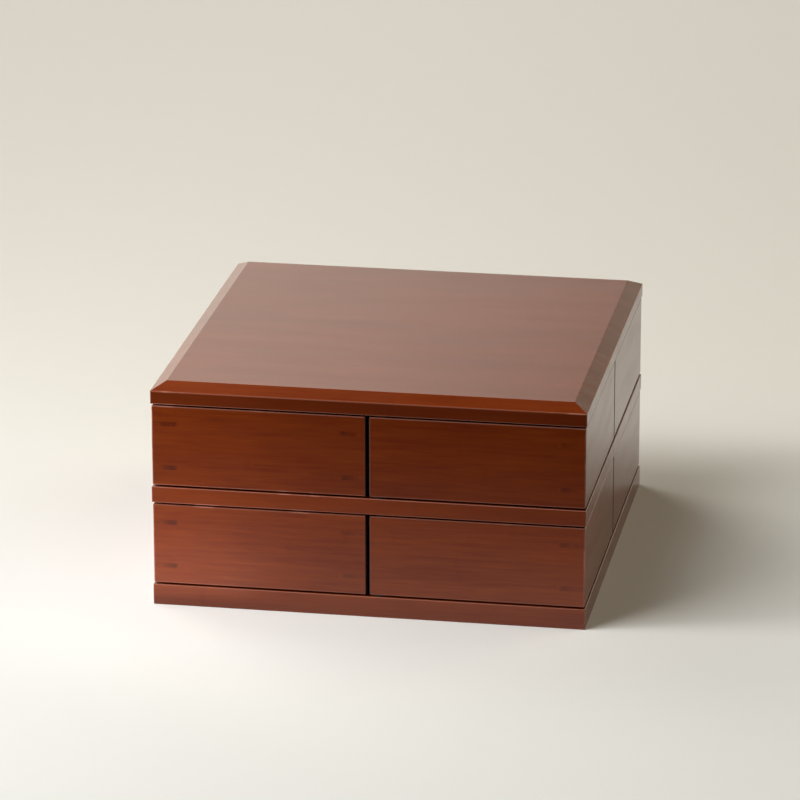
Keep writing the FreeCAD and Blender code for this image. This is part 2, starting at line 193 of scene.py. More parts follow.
class BoxFinish(bpy.types.PropertyGroup):
    """Stain, lacquer and metal colours, as linear values."""

    stain_light: bpy.props.FloatVectorProperty(
        name="Stain, light", description="Lightest streaks of the stained bamboo",
        default=(0.25, 0.043, 0.003), size=3, min=0, max=1, subtype="COLOR")
    stain_dark: bpy.props.FloatVectorProperty(
        name="Stain, dark", description="Darkest streaks of the stained bamboo",
        default=(0.105, 0.010, 0.0008), size=3, min=0, max=1, subtype="COLOR")
    # Also the dark colour of the painted shade on the lid's sides and on the upper boxes
    key_stain_and_shade: bpy.props.FloatVectorProperty(
        name="Key stain and shade", description="Corner keys, darker because their grain is cut across",
        default=(0.055, 0.008, 0.003), size=3, min=0, max=1, subtype="COLOR")
    # Partly real wear and partly painted highlight: the pale colour on every rounded edge stands in for the
    # light lines that the edges catch
    edge_wear_and_highlight: bpy.props.FloatVectorProperty(
        name="Edge wear and highlight", description="Sanded edges, where the stain is thin, with a painted highlight",
        default=(0.56, 0.24, 0.17), size=3, min=0, max=1, subtype="COLOR")
    # Painted shade: the near-black colour drawn on the box edges where two boxes meet, standing in for the
    # shade in the gap
    seam_shade: bpy.props.FloatVectorProperty(
        name="Seam shade", description="Painted dark shade on the edges where two boxes meet",
        default=(0.012, 0.006, 0.004), size=3, min=0, max=1, subtype="COLOR")
    floor_light: bpy.props.FloatVectorProperty(
        name="Panel, light", description="Lightest streaks of a box's floor panel",
        default=(0.26, 0.06, 0.02), size=3, min=0, max=1, subtype="COLOR")
    floor_dark: bpy.props.FloatVectorProperty(
        name="Panel, dark", description="Darkest streaks of a box's floor panel",
        default=(0.12, 0.02, 0.006), size=3, min=0, max=1, subtype="COLOR")
    steel: bpy.props.FloatVectorProperty(
        name="Steel", description="Turned steel of the rods",
        default=(0.56, 0.55, 0.54), size=3, min=0, max=1, subtype="COLOR")
    nylon: bpy.props.FloatVectorProperty(
        name="Nylon", description="Moulded nylon of the washers",
        default=(0.022, 0.021, 0.020), size=3, min=0, max=1, subtype="COLOR")
    brass: bpy.props.FloatVectorProperty(
        name="Brass", description="Brass of the threaded inserts",
        default=(0.62, 0.42, 0.16), size=3, min=0, max=1, subtype="COLOR")
    lacquer_roughness: bpy.props.FloatProperty(
        name="Lacquer roughness", description="Roughness of the semi-gloss lacquer",
        default=0.2, min=0.02, max=1, subtype="FACTOR")
    panel_roughness: bpy.props.FloatProperty(
        name="Panel roughness", description="Roughness of the satin floor panels",
        default=0.42, min=0.02, max=1, subtype="FACTOR")
    # Painted shade: the upper boxes' boards drawn darker than the lower ones', as less light reaches them
    upper_box_shading: bpy.props.FloatProperty(
        name="Upper boxes' painted shade", description="Lightness of the upper boxes' boards beside the lower ones",
        default=0.86, min=0.1, max=1, subtype="FACTOR")
    # Painted shade: the lid's upright sides drawn darker than its top, as they get less light
    lid_side_shading: bpy.props.FloatProperty(
        name="Lid sides' painted shade", description="Lightness of the lid's upright sides beside its top",
        default=0.6, min=0.1, max=1, subtype="FACTOR")


class StageLook(bpy.types.PropertyGroup):
    """Camera, strength of the light, and floor."""

    view_azimuth: bpy.props.FloatProperty(
        name="View from the right", description="How far the camera stands round to the right",
        default=math.radians(9.79), unit="ROTATION")
    view_elevation: bpy.props.FloatProperty(
        name="View from above", description="How far the camera looks down",
        default=math.radians(18.59), unit="ROTATION")
    view_roll: bpy.props.FloatProperty(
        name="View roll", description="Turn of the camera about its own axis",
        default=math.radians(0.07), unit="ROTATION")
    view_distance: bpy.props.FloatProperty(
        name="Distance", description="Camera to the middle of the box",
        default=2.434, min=0.3, unit="LENGTH")
    view_lens: bpy.props.FloatProperty(
        name="Lens", description="Focal length in millimetres on a 36 mm sensor",
        default=220.9, min=10)
    view_offset: bpy.props.FloatVectorProperty(
        name="Framing", description="How far right of and below the centre the box's middle lies",
        default=(2.26 * MM, 17.93 * MM), size=2, unit="LENGTH")
    lamp_strength: bpy.props.FloatProperty(
        name="Lamps", description="Strength of all lamps together", default=1.0, min=0)
    room_strength: bpy.props.FloatProperty(
        name="Room", description="Strength of the room's light", default=1.0, min=0)
    floor_front: bpy.props.FloatVectorProperty(
        name="Floor, front", description="Colour of the floor before the box",
        default=(0.905, 0.92, 0.93), size=3, min=0, max=1, subtype="COLOR")
    floor_back: bpy.props.FloatVectorProperty(
        name="Floor, back", description="Colour of the floor behind the box",
        default=(0.91, 0.893, 0.857), size=3, min=0, max=1, subtype="COLOR")


def feed(tree, socket, value):
    """Links a socket to another one, or gives it a plain value."""
    if isinstance(value, bpy.types.NodeSocket):
        tree.links.new(value, socket)
    elif hasattr(socket.default_value, "__len__") and len(value) < len(socket.default_value):
        socket.default_value = (*value, 1.0)
    else:
        socket.default_value = value


def add_node(tree, kind, inputs=None, **settings):
    """A node with its settings, and its inputs fed by name or number."""
    node = tree.nodes.new(kind)
    for name, value in settings.items():
        setattr(node, name, value)
    for key, value in (inputs or {}).items():
        feed(tree, node.inputs[key], value)
    return node


def calc(tree, operation, *values):
    """The output of a Math node."""
    return add_node(tree, "ShaderNodeMath", dict(enumerate(values)), operation=operation).outputs[0]


def vector_calc(tree, operation, *values):
    """The vector output of a Vector Math node."""
    node = add_node(tree, "ShaderNodeVectorMath", dict(enumerate(values)), operation=operation)
    return node.outputs["Vector"]


def split(tree, vector):
    """The three parts of a vector."""
    return add_node(tree, "ShaderNodeSeparateXYZ", {0: vector}).outputs[:]


def fade(tree, value, start, end):
    """0 at start and 1 at end, with a smooth step between. Start may be the higher one."""
    inputs = {"Value": value, "From Min": start, "From Max": end}
    return add_node(tree, "ShaderNodeMapRange", inputs, interpolation_type="SMOOTHSTEP").outputs[0]


def noise(tree, vector, stretch, detail=2.0, roughness=0.5, distortion=0.0):
    """3-D noise round 0.5, with its own scale along each part of the vector."""
    stretched = vector_calc(tree, "MULTIPLY", vector, stretch)
    inputs = {"Vector": stretched, "Scale": 1.0, "Detail": detail, "Roughness": roughness,
              "Distortion": distortion}
    return add_node(tree, "ShaderNodeTexNoise", inputs).outputs[0]


def blend_colours(tree, share, first, second):
    """A colour that share of the way from the first to the second."""
    node = tree.nodes.new("ShaderNodeMix")
    node.data_type = "RGBA"
    sockets = {socket.identifier: socket for socket in node.inputs}
    feed(tree, sockets["Factor_Float"], share)
    feed(tree, sockets["A_Color"], first)
    feed(tree, sockets["B_Color"], second)
    return next(socket for socket in node.outputs if socket.identifier == "Result_Color")


def new_group(kind, name, inputs, outputs):
    """An empty node group with named sockets, and its two end nodes."""
    tree = bpy.data.node_groups.new(name, kind)
    for direction, sockets in (("INPUT", inputs), ("OUTPUT", outputs)):
        for socket_name, (socket_kind, default) in sockets.items():
            socket = tree.interface.new_socket(
                name=socket_name, in_out=direction, socket_type="NodeSocket" + socket_kind)
            if default is not None:
                socket.default_value = default
    return tree, tree.nodes.new("NodeGroupInput").outputs, tree.nodes.new("NodeGroupOutput").inputs


def fill_group(tree, name, inputs):
    """A shared group placed in a tree with its own values."""
    node = tree.nodes.new("ShaderNodeGroup")
    node.node_tree = bpy.data.node_groups[name]
    for key, value in inputs.items():
        feed(tree, node.inputs[key], value)
    return node.outputs


def make_bamboo_group():
    """Strips, fibres, nodes and flecks of a glued bamboo board."""
    tree, given, result = new_group("ShaderNodeTree", "Bamboo Board", {
        "Grain": ("Vector", None),
        "Strip Width": ("Float", 6 * MM),
        "Light": ("Color", (1, 1, 1, 1)),
        "Dark": ("Color", (0, 0, 0, 1)),
        "Strip Contrast": ("Float", 0.15),
        "Fibre Contrast": ("Float", 0.9),
    }, {"Colour": ("Color", None), "Fibre": ("Float", None)})
    grain = given["Grain"]
    along, across, through = split(tree, grain)
    strips = calc(tree, "DIVIDE", across, given["Strip Width"])
    number = calc(tree, "FLOOR", strips)
    in_strip = calc(tree, "SUBTRACT", strips, number)
    draw = add_node(tree, "ShaderNodeTexWhiteNoise", {"W": number}, noise_dimensions="1D").outputs
    strip_tone = calc(tree, "SUBTRACT", draw["Value"], 0.5)
    fibre = noise(tree, grain, (60, 1500, 1500), detail=3.0, roughness=0.6)
    streak = noise(tree, grain, (32, 520, 520), detail=3.0, distortion=0.2)
    cloud = noise(tree, grain, (14, 30, 30), detail=2.0)
    # Each strip's nodes lie a culm's joint apart, at a place of its own
    joints = calc(tree, "ADD", calc(tree, "DIVIDE", along, 0.21), calc(tree, "MULTIPLY", draw["Value"], 9.7))
    to_node = calc(tree, "ABSOLUTE", calc(tree, "SUBTRACT", calc(tree, "FRACT", joints), 0.5))
    node = fade(tree, to_node, 0.011, 0.003)
    edge_distance = calc(tree, "MINIMUM", in_strip, calc(tree, "SUBTRACT", 1.0, in_strip))
    seam = fade(tree, edge_distance, 0.05, 0.0)
    dash = fade(tree, noise(tree, grain, (150, 2600, 2600), detail=1.0), 0.7, 0.8)
    fleck = fade(tree, noise(tree, grain, (260, 2000, 2000), detail=1.0), 0.72, 0.82)
    tone = calc(tree, "MULTIPLY_ADD", strip_tone, given["Strip Contrast"], 0.5)
    for pattern, weight in ((fibre, 0.55), (streak, 0.9)):
        centred = calc(tree, "SUBTRACT", pattern, 0.5)
        scaled = calc(tree, "MULTIPLY", centred, given["Fibre Contrast"])
        tone = calc(tree, "MULTIPLY_ADD", scaled, weight, tone)
    tone = calc(tree, "MULTIPLY_ADD", calc(tree, "SUBTRACT", cloud, 0.5), 0.5, tone)
    for mark, weight in ((node, -0.06), (seam, -0.05), (dash, -0.2), (fleck, 0.1)):
        tone = calc(tree, "MULTIPLY_ADD", mark, weight, tone)
    share = add_node(tree, "ShaderNodeClamp", {0: tone}).outputs[0]
    feed(tree, result["Colour"], blend_colours(tree, share, given["Dark"], given["Light"]))
    feed(tree, result["Fibre"], fibre)


def make_arris_group():
    """Sanded edges of a board with pale chips and a painted highlight, and painted shade on the strips where
    boxes meet.
    """
    tree, given, result = new_group("ShaderNodeTree", "Arris Wear And Painted Light", {
        "From Centre": ("Vector", None),
        "Half Size": ("Vector", (0.1, 0.1, 0.1)),
        "Reach": ("Float", 1 * MM),
        "Bevel Drop": ("Float", NO_BEVEL),
        "Has Seams": ("Float", 0.0),
    }, {"Arris": ("Float", None), "Seam": ("Float", None)})
    half_size, from_centre, reach = given["Half Size"], given["From Centre"], given["Reach"]
    inset = vector_calc(tree, "SUBTRACT", half_size, vector_calc(tree, "ABSOLUTE", from_centre))
    near = [fade(tree, part, reach, 0.0) for part in split(tree, inset)]
    pairs = [calc(tree, "MINIMUM", near[a], near[b]) for a, b in ((0, 1), (1, 2), (0, 2))]
    edge = calc(tree, "MAXIMUM", calc(tree, "MAXIMUM", pairs[0], pairs[1]), pairs[2])
    # Outward is positive across and along, so a side towards a neighbour lies at minus half the size
    outer = split(tree, vector_calc(tree, "SUBTRACT", half_size, from_centre))
    towards = split(tree, vector_calc(tree, "ADD", half_size, from_centre))
    level = calc(tree, "ABSOLUTE", calc(tree, "SUBTRACT", outer[2], given["Bevel Drop"]))
    bevel = calc(tree, "MULTIPLY", calc(tree, "MAXIMUM", near[0], near[1]),
                 fade(tree, level, reach, 0.0))
    edge = calc(tree, "MAXIMUM", edge, bevel)
    wear = noise(tree, add_node(tree, "ShaderNodeTexCoord").outputs["Object"], (45, 45, 45), detail=3.0)
    chips = fade(tree, wear, 0.6, 0.7)
    # Real wear in the pale chips; the even share on every arris is a painted highlight
    worn_and_lit = calc(tree, "MULTIPLY", edge, calc(tree, "MULTIPLY_ADD", chips, 0.6, 0.35))
    # Painted shade: dark strips on the sides that face a neighbouring box, along their outer edges, where
    # shade falls into the gap
    inner_sides = [fade(tree, part, reach, 0.0) for part in towards[:2]]
    outer_strips = [fade(tree, part, 2.5 * MM, 0.5 * MM) for part in outer[:2]]
    seam = calc(tree, "MAXIMUM", calc(tree, "MULTIPLY", inner_sides[0], outer_strips[1]),
                calc(tree, "MULTIPLY", inner_sides[1], outer_strips[0]))
    seam = calc(tree, "MULTIPLY", seam, given["Has Seams"])
    feed(tree, result["Arris"], calc(tree, "MULTIPLY", worn_and_lit, calc(tree, "SUBTRACT", 1.0, seam)))
    feed(tree, result["Seam"], seam)


def make_lacquer_group():
    """Roughness and faint waves of a lacquer film over wood."""
    tree, given, result = new_group("ShaderNodeTree", "Lacquer Film", {
        "Grain": ("Vector", None),
        "Fibre": ("Float", 0.5),
        "Roughness": ("Float", 0.2),
    }, {"Roughness": ("Float", None), "Height": ("Float", None)})
    wave = noise(tree, given["Grain"], (14, 60, 60), detail=1.0)
    peel = noise(tree, given["Grain"], (420, 420, 420), detail=1.0)
    nib = fade(tree, noise(tree, given["Grain"], (1300, 1300, 1300), detail=0.0), 0.83, 0.9)
    smear = noise(tree, given["Grain"], (22, 120, 120), detail=2.0)
    spread = calc(tree, "MULTIPLY_ADD", calc(tree, "SUBTRACT", smear, 0.5), 0.5, 1.0)
    feed(tree, result["Roughness"], calc(tree, "MULTIPLY", given["Roughness"], spread))
    height = calc(tree, "MULTIPLY", wave, 0.045)
    height = calc(tree, "MULTIPLY_ADD", peel, 0.0012, height)
    height = calc(tree, "MULTIPLY_ADD", nib, 0.006, height)
    height = calc(tree, "MULTIPLY_ADD", given["Fibre"], 0.0012, height)
    feed(tree, result["Height"], height)


def new_material(name):
    """A material with an empty tree and a Principled shader on its output."""
    material = bpy.data.materials.new(name)
    material.use_nodes = True
    tree = material.node_tree
    tree.nodes.clear()
    shader = tree.nodes.new("ShaderNodeBsdfPrincipled")
    output = tree.nodes.new("ShaderNodeOutputMaterial")
    tree.links.new(shader.outputs[0], output.inputs["Surface"])
    return material, tree, shader


def attribute(tree, name):
    """A vector stored in a piece's points."""
    return add_node(tree, "ShaderNodeAttribute", attribute_name=name).outputs["Vector"]


def bump(tree, height, distance, strength=1.0):
    """The normal of a surface raised by that height."""
    inputs = {"Height": height, "Distance": distance, "Strength": strength}
    return add_node(tree, "ShaderNodeBump", inputs).outputs[0]


def painted_lid_side_shade(tree, colour, half_size, from_centre, bevel_drop):
    """Painted shade: the upright sides below the lid's bevel drawn darker than its top."""
    finish = bpy.context.scene.box_finish
    from_top = calc(tree, "SUBTRACT", half_size.z, split(tree, from_centre)[2])
    below_bevel = fade(tree, from_top, bevel_drop, bevel_drop + 0.4 * MM)
    share = calc(tree, "MULTIPLY", below_bevel, 1 - finish.lid_side_shading)
    return blend_colours(tree, share, colour, finish.key_stain_and_shade)


def soaked_keys(tree, colour, half_size, from_centre):
    """Corner keys that soaked up stain unevenly, most of it towards their inner ends."""
    leg = bpy.context.scene.box_sizes.key_leg
    # On either face of a corner this is the distance from the corner
    x, y, z = split(tree, vector_calc(tree, "ABSOLUTE", from_centre))
    from_corner = calc(tree, "SUBTRACT", 2 * half_size.x, calc(tree, "ADD", x, y))
    inner = fade(tree, from_corner, 0.1 * leg, 0.8 * leg)
    left_over = fade(tree, from_corner, leg, 0.82 * leg)
    object_place = add_node(tree, "ShaderNodeTexCoord").outputs["Object"]
    soaked = fade(tree, noise(tree, object_place, (26, 26, 70), detail=1.0), 0.3, 0.62)
    depth = calc(tree, "MULTIPLY_ADD", inner, 0.65, 0.3)
    share = calc(tree, "MULTIPLY", calc(tree, "MULTIPLY", depth, left_over),
                 calc(tree, "MULTIPLY_ADD", soaked, 0.6, 0.15))
    return blend_colours(tree, share, colour, bpy.context.scene.box_finish.key_stain_and_shade)


def bamboo_material(name, half_size, light=None, dark=None, strip_width=None, roughness=None,
                    wear=BOX_EDGE_REACH, fibres=BOX_FIBRES, bevel_drop=NO_BEVEL, has_seams=False,
                    are_keys=False, tone=1.0):
    """Stained bamboo under semi-gloss lacquer, with sanded edges that also carry a painted highlight, and
    painted shade where it is asked for.
    """
    finish = bpy.context.scene.box_finish
    material, tree, shader = new_material(name)
    grain = attribute(tree, "grain")
    from_centre = attribute(tree, "from_centre")
    board = fill_group(tree, "Bamboo Board", {
        "Grain": grain,
        "Strip Width": strip_width or bpy.context.scene.box_sizes.strip_width,
        "Light": light or finish.stain_light,
        "Dark": dark or finish.stain_dark,
        "Fibre Contrast": fibres,
    })
    colour = board["Colour"]
    # Painted shade on the lid's upright sides
    if bevel_drop > 0:
        colour = painted_lid_side_shade(tree, colour, half_size, from_centre, bevel_drop)
    # Painted shade: a tone under 1 darkens the boards, as for the upper boxes
    if tone < 1:
        colour = blend_colours(tree, 1 - tone, colour, finish.key_stain_and_shade)
    if are_keys:
        colour = soaked_keys(tree, colour, half_size, from_centre)
    arris = fill_group(tree, "Arris Wear And Painted Light", {
        "From Centre": from_centre, "Half Size": half_size, "Reach": wear,
        "Bevel Drop": bevel_drop, "Has Seams": float(has_seams)})
    # Sanded edges and painted highlight on every arris
    colour = blend_colours(tree, arris["Arris"], colour, finish.edge_wear_and_highlight)
    # Painted shade on the seams between boxes
    colour = blend_colours(tree, arris["Seam"], colour, finish.seam_shade)
    film = fill_group(tree, "Lacquer Film", {
        "Grain": grain, "Fibre": board["Fibre"], "Roughness": roughness or finish.lacquer_roughness})
    feed(tree, shader.inputs["Base Color"], colour)
    # Where the seams' painted shade lies, the lacquer is also rougher, so it reflects less there
    feed(tree, shader.inputs["Roughness"], calc(tree, "MULTIPLY_ADD", arris["Seam"], 0.5, film["Roughness"]))
    feed(tree, shader.inputs["Normal"], bump(tree, film["Height"], 1 * MM))
    shader.inputs["IOR"].default_value = LACQUER_IOR
    return material


def steel_material():
    """Turned steel: fine rings and drawn lines along the rod."""
    finish = bpy.context.scene.box_finish
    material, tree, shader = new_material("Turned steel")
    place = attribute(tree, "from_centre")
    rings = noise(tree, place, (500, 500, 9000), detail=2.0)
    stain = noise(tree, place, (300, 300, 90), detail=3.0)
    dark = tuple(0.7 * part for part in finish.steel)
    feed(tree, shader.inputs["Base Color"], blend_colours(tree, stain, dark, finish.steel))
    feed(tree, shader.inputs["Roughness"], calc(tree, "MULTIPLY_ADD", stain, 0.2, 0.22))
    feed(tree, shader.inputs["Normal"], bump(tree, rings, 0.02 * MM, 0.6))
    shader.inputs["Metallic"].default_value = 1.0
    return material


def plain_material(name, colour, grain_size, roughness, metallic):
    """Moulded or cast stuff: a fine mottle in colour, gloss and height."""
    material, tree, shader = new_material(name)
    place = add_node(tree, "ShaderNodeTexCoord").outputs["Object"]
    mottle = noise(tree, place, (1 / grain_size,) * 3, detail=3.0)
    dark = tuple(0.72 * part for part in colour)
    feed(tree, shader.inputs["Base Color"], blend_colours(tree, mottle, dark, colour))
    feed(tree, shader.inputs["Roughness"], calc(tree, "MULTIPLY_ADD", mottle, 0.2, roughness - 0.1))
    feed(tree, shader.inputs["Normal"], bump(tree, mottle, 0.03 * MM, 0.5))
    shader.inputs["Metallic"].default_value = metallic
    return material


def square_up(work, low, high, chamfer):
    """Takes the frame's small chamfers off a board, so that its outer edges are square again."""
    for vertex in work.verts:
        limits = [min((low[axis], high[axis]), key=lambda limit: abs(vertex.co[axis] - limit))
                  for axis in range(3)]
        away = [abs(vertex.co[axis] - limits[axis]) for axis in range(3)]
        for one, other in ((0, 1), (1, 2), (0, 2)):
            if abs(away[one] + away[other] - chamfer) < SNAPPED_WITHIN:
                vertex.co[one] = limits[one]
                vertex.co[other] = limits[other]
    bmesh.ops.remove_doubles(work, verts=work.verts, dist=MERGED_WITHIN)
    bmesh.ops.dissolve_limit(
        work, angle_limit=FLAT_WITHIN, verts=work.verts[:], edges=work.edges[:])


def cut_beside_arrises(work, low, high, radius):
    """Cuts a mesh beside its outer edges, so that the rounds have lines to bend along."""
    for axis in range(3):
        normal = Vector((0, 0, 0))
        normal[axis] = 1.0
        for share in ARRIS_CUTS:
            for level in (low[axis] + share * radius, high[axis] - share * radius):
                bmesh.ops.bisect_plane(
                    work, geom=work.verts[:] + work.edges[:] + work.faces[:],
                    dist=MERGED_WITHIN, plane_co=normal * level, plane_no=normal)


def bend_to_round(work, low, high, radius):
    """Draws in what stands outside a block with all its edges rounded."""
    for vertex in work.verts:
        centre = Vector(
            min(max(vertex.co[axis], low[axis] + radius), high[axis] - radius)
            for axis in range(3))
        away = vertex.co - centre
        if away.length > radius:
            vertex.co = centre + away * (radius / away.length)
    # On a mitre some faces close to nothing, and what they held apart is joined
    closed = [face for face in work.faces if face.calc_area() < NO_AREA]
    bmesh.ops.delete(work, geom=closed, context="FACES_ONLY")
    bmesh.ops.remove_doubles(work, verts=work.verts, dist=MERGED_WITHIN)


def merged_copy(node):
    """A CAD node's shape as joined flat faces, open for changes."""
    work = bmesh.new()
    work.from_mesh(frame["nodes"][node].data)
    bmesh.ops.remove_doubles(work, verts=work.verts, dist=MERGED_WITHIN)
    bmesh.ops.dissolve_limit(
        work, angle_limit=FLAT_WITHIN, verts=work.verts[:], edges=work.edges[:])
    return work


def add_object(name, data):
    """An object in the scene with its mesh, lamp or camera."""
    new_object = bpy.data.objects.new(name, data)
    bpy.context.scene.collection.objects.link(new_object)
    return new_object


def to_object(work, name):
    """The object of a finished work mesh."""
    mesh = bpy.data.meshes.new(name)
    work.to_mesh(mesh)
    work.free()
    return add_object(name, mesh)


def settle(piece):
    """Turns a piece's live modifiers into its plain mesh."""
    evaluated = piece.evaluated_get(bpy.context.evaluated_depsgraph_get())
    mesh = bpy.data.meshes.new_from_object(evaluated)
    piece.modifiers.clear()
    old = piece.data
    piece.data = mesh
    bpy.data.meshes.remove(old)
    mesh.name = piece.name
    return piece


def shade_eased(piece):
    """Smooth rounds beside truly flat faces."""
    mesh = piece.data
    mesh.shade_smooth()
    mesh.set_sharp_from_angle(angle=SHARP_FROM)
    weighted = piece.modifiers.new("flat_faces_stay_flat", "WEIGHTED_NORMAL")
    weighted.mode = "FACE_AREA"
    weighted.weight = 100
    weighted.keep_sharp = True
    return settle(piece)


def store_vectors(piece, name, values):
    """A named vector for each vertex of a piece."""
    layer = piece.data.attributes.new(name, "FLOAT_VECTOR", "POINT")
    layer.data.foreach_set("vector", [part for vector in values for part in vector])


def board_place(axes, offset):
    """How a board's grain lies: takes a point and gives it along, across and through."""
    def place(point):
        return Vector((point[axes[0]], point[axes[1]], point[axes[2]])) + offset
    return place


def key_place(centre, offset):
    """How a key's grain lies: slanting over the corner from one face to the other."""
    def place(point):
        x, y, z = point - centre
        x, y = abs(x), abs(y)
        return Vector(((x - y) / math.sqrt(2), (x + y) / math.sqrt(2), z)) + offset
    return place


def next_offset(draws):
    """Moves each board to its own part of the endless bamboo pattern."""
    return Vector(OFFSET_STEP * draws.randint(1, MOST_STEPS) for _ in range(3))


def finish_piece(piece, node, material, centre, place):
    """Stores a piece's grain and middle, and lets it stand for its node."""
    points = [vertex.co.copy() for vertex in piece.data.vertices]
    outward = Vector((1 if part >= 0 else -1) for part in centre)
    store_vectors(piece, "from_centre", [(point - centre) * outward for point in points])
    store_vectors(piece, "grain", [place(point) for point in points])
    seat_piece(piece, node, material)


def seat_piece(piece, node, material):
    """Gives a piece its material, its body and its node."""
    piece.data.materials.clear()
    piece.data.materials.append(material)
    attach(piece, BODY_OF[node])
    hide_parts(node)


def ease_lid_folds(work, low, high, easing):
    """Sands the lid's top folds, chamfer feet and hips, the edges that the frame leaves sharp."""
    def is_sharp(edge):
        middle = (edge.verts[0].co + edge.verts[1].co) / 2
        return middle.z > (low.z + high.z) / 2 and edge.calc_face_angle(0) > FLAT_WITHIN
    folds = [edge for edge in work.edges if is_sharp(edge)]
    bmesh.ops.bevel(
        work, geom=folds, offset=easing, offset_type="OFFSET", segments=4, profile=0.5,
        affect="EDGES", clamp_overlap=True)


def eased_piece(node, low, high, chamfer, radius, fold_easing=0.0):
    """A board of the frame with its outer edges rounded inside the span low to high."""
    work = merged_copy(node)
    square_up(work, low, high, chamfer)
    if fold_easing > 0:
        ease_lid_folds(work, low, high, fold_easing)
    cut_beside_arrises(work, low, high, radius)
    bend_to_round(work, low, high, radius)
    return shade_eased(to_object(work, node + "_lacquered"))


class ROTATING_BOX_OT_plates(bpy.types.Operator):
    """Make the lid, the middle plate and the base plate"""

    bl_idname = "rotating_box.plates"
    bl_label = "Plates"

    def execute(self, context):
        sizes = context.scene.box_sizes
        draws = random.Random(DRAW_SEED)
        for node in ("lid", "middle_plate", "base_plate"):
            low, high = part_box(node)
            easing, drop = (sizes.lid_fold_easing, sizes.bevel_drop) if node == "lid" else (0.0, NO_BEVEL)
            piece = eased_piece(node, low, high, sizes.plate_chamfer, sizes.plate_edge_radius, easing)
            material = bamboo_material(
                "Stained bamboo, " + node, (high - low) / 2, wear=PLATE_EDGE_REACH, fibres=PLATE_FIBRES,
                bevel_drop=drop)
            place = board_place((0, 1, 2), next_offset(draws))
            finish_piece(piece, node, material, (low + high) / 2, place)
        return {"FINISHED"}


class ROTATING_BOX_OT_box_walls(bpy.types.Operator):
    """Make the four wall boards of every box"""

    bl_idname = "rotating_box.box_walls"
    bl_label = "Box walls"

    def execute(self, context):
        sizes = context.scene.box_sizes
        draws = random.Random(DRAW_SEED + 1)
        low, high = box_span(BOXES[0])
        # Painted shade: the upper tier gets a darker copy of the walls' material
        tier_shading = {"lower": 1.0, "upper": context.scene.box_finish.upper_box_shading}
        materials = {
            tier: bamboo_material(
                f"Stained bamboo, {tier} box walls", (high - low) / 2, has_seams=True, tone=tone)
            for tier, tone in tier_shading.items()}
        for box in BOXES:
            low, high = box_span(box)
            tier = box.split("_")[0]
            for side in SIDES:
                node = f"{box}_{side}_wall"
                piece = eased_piece(node, low, high, sizes.box_chamfer, sizes.box_edge_radius)
                axes = (0, 2, 1) if side in ("front", "back") else (1, 2, 0)
                place = board_place(axes, next_offset(draws))
                finish_piece(piece, node, materials[tier], (low + high) / 2, place)
        return {"FINISHED"}


class ROTATING_BOX_OT_corner_keys(bpy.types.Operator):
    """Make the keys across the corners of every box"""

    bl_idname = "rotating_box.corner_keys"
    bl_label = "Corner keys"

    def execute(self, context):
        sizes = context.scene.box_sizes
        draws = random.Random(DRAW_SEED + 2)
        low, high = box_span(BOXES[0])
        material = bamboo_material(
            "Dark bamboo, corner keys", (high - low) / 2, has_seams=True, are_keys=True)
        for box in BOXES:
            low, high = box_span(box)
            node = box + "_corner_keys"
            piece = eased_piece(node, low, high, sizes.box_chamfer, sizes.box_edge_radius)
            centre = (low + high) / 2
            finish_piece(piece, node, material, centre, key_place(centre, next_offset(draws)))
        return {"FINISHED"}


class ROTATING_BOX_OT_floor_panels(bpy.types.Operator):
    """Make the floor panel of every box"""

    bl_idname = "rotating_box.floor_panels"
    bl_label = "Floor panels"

    def execute(self, context):
        finish = context.scene.box_finish
        draws = random.Random(DRAW_SEED + 3)
        low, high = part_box(BOXES[0] + "_floor")
        material = bamboo_material(
            "Bamboo panel, satin", (high - low) / 2, finish.floor_light, finish.floor_dark,
            strip_width=context.scene.box_sizes.panel_strip_width, roughness=finish.panel_roughness)
        for number, box in enumerate(BOXES):
            node = box + "_floor"
            low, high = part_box(node)
            piece = shade_eased(to_object(merged_copy(node), node + "_panel"))
            axes = (0, 1, 2) if number % 2 else (1, 0, 2)
            place = board_place(axes, next_offset(draws))
            finish_piece(piece, node, material, (low + high) / 2, place)
        return {"FINISHED"}


def ring_mesh(rings, sides):
    """A closed body of rings round an upright axis, each a height and a radius or a function
    of the angle, with a pole at the first and at the last height."""
    work = bmesh.new()
    loops = []
    for height, radius in rings[1:-1]:
        loop = []
        for step in range(sides):
            angle = 2 * math.pi * step / sides
            reach = radius(angle) if callable(radius) else radius
            loop.append(work.verts.new((reach * math.cos(angle), reach * math.sin(angle), height)))
        loops.append(loop)
    for lower, upper in zip(loops, loops[1:]):
        for step in range(sides):
            following = (step + 1) % sides
            work.faces.new((lower[step], lower[following], upper[following], upper[step]))
    for loop, (height, _) in ((loops[0][::-1], rings[0]), (loops[-1], rings[-1])):
        pole = work.verts.new((0, 0, height))
        for step in range(sides):
            work.faces.new((loop[step], loop[(step + 1) % sides], pole))
    bmesh.ops.recalc_face_normals(work, faces=work.faces)
    return work


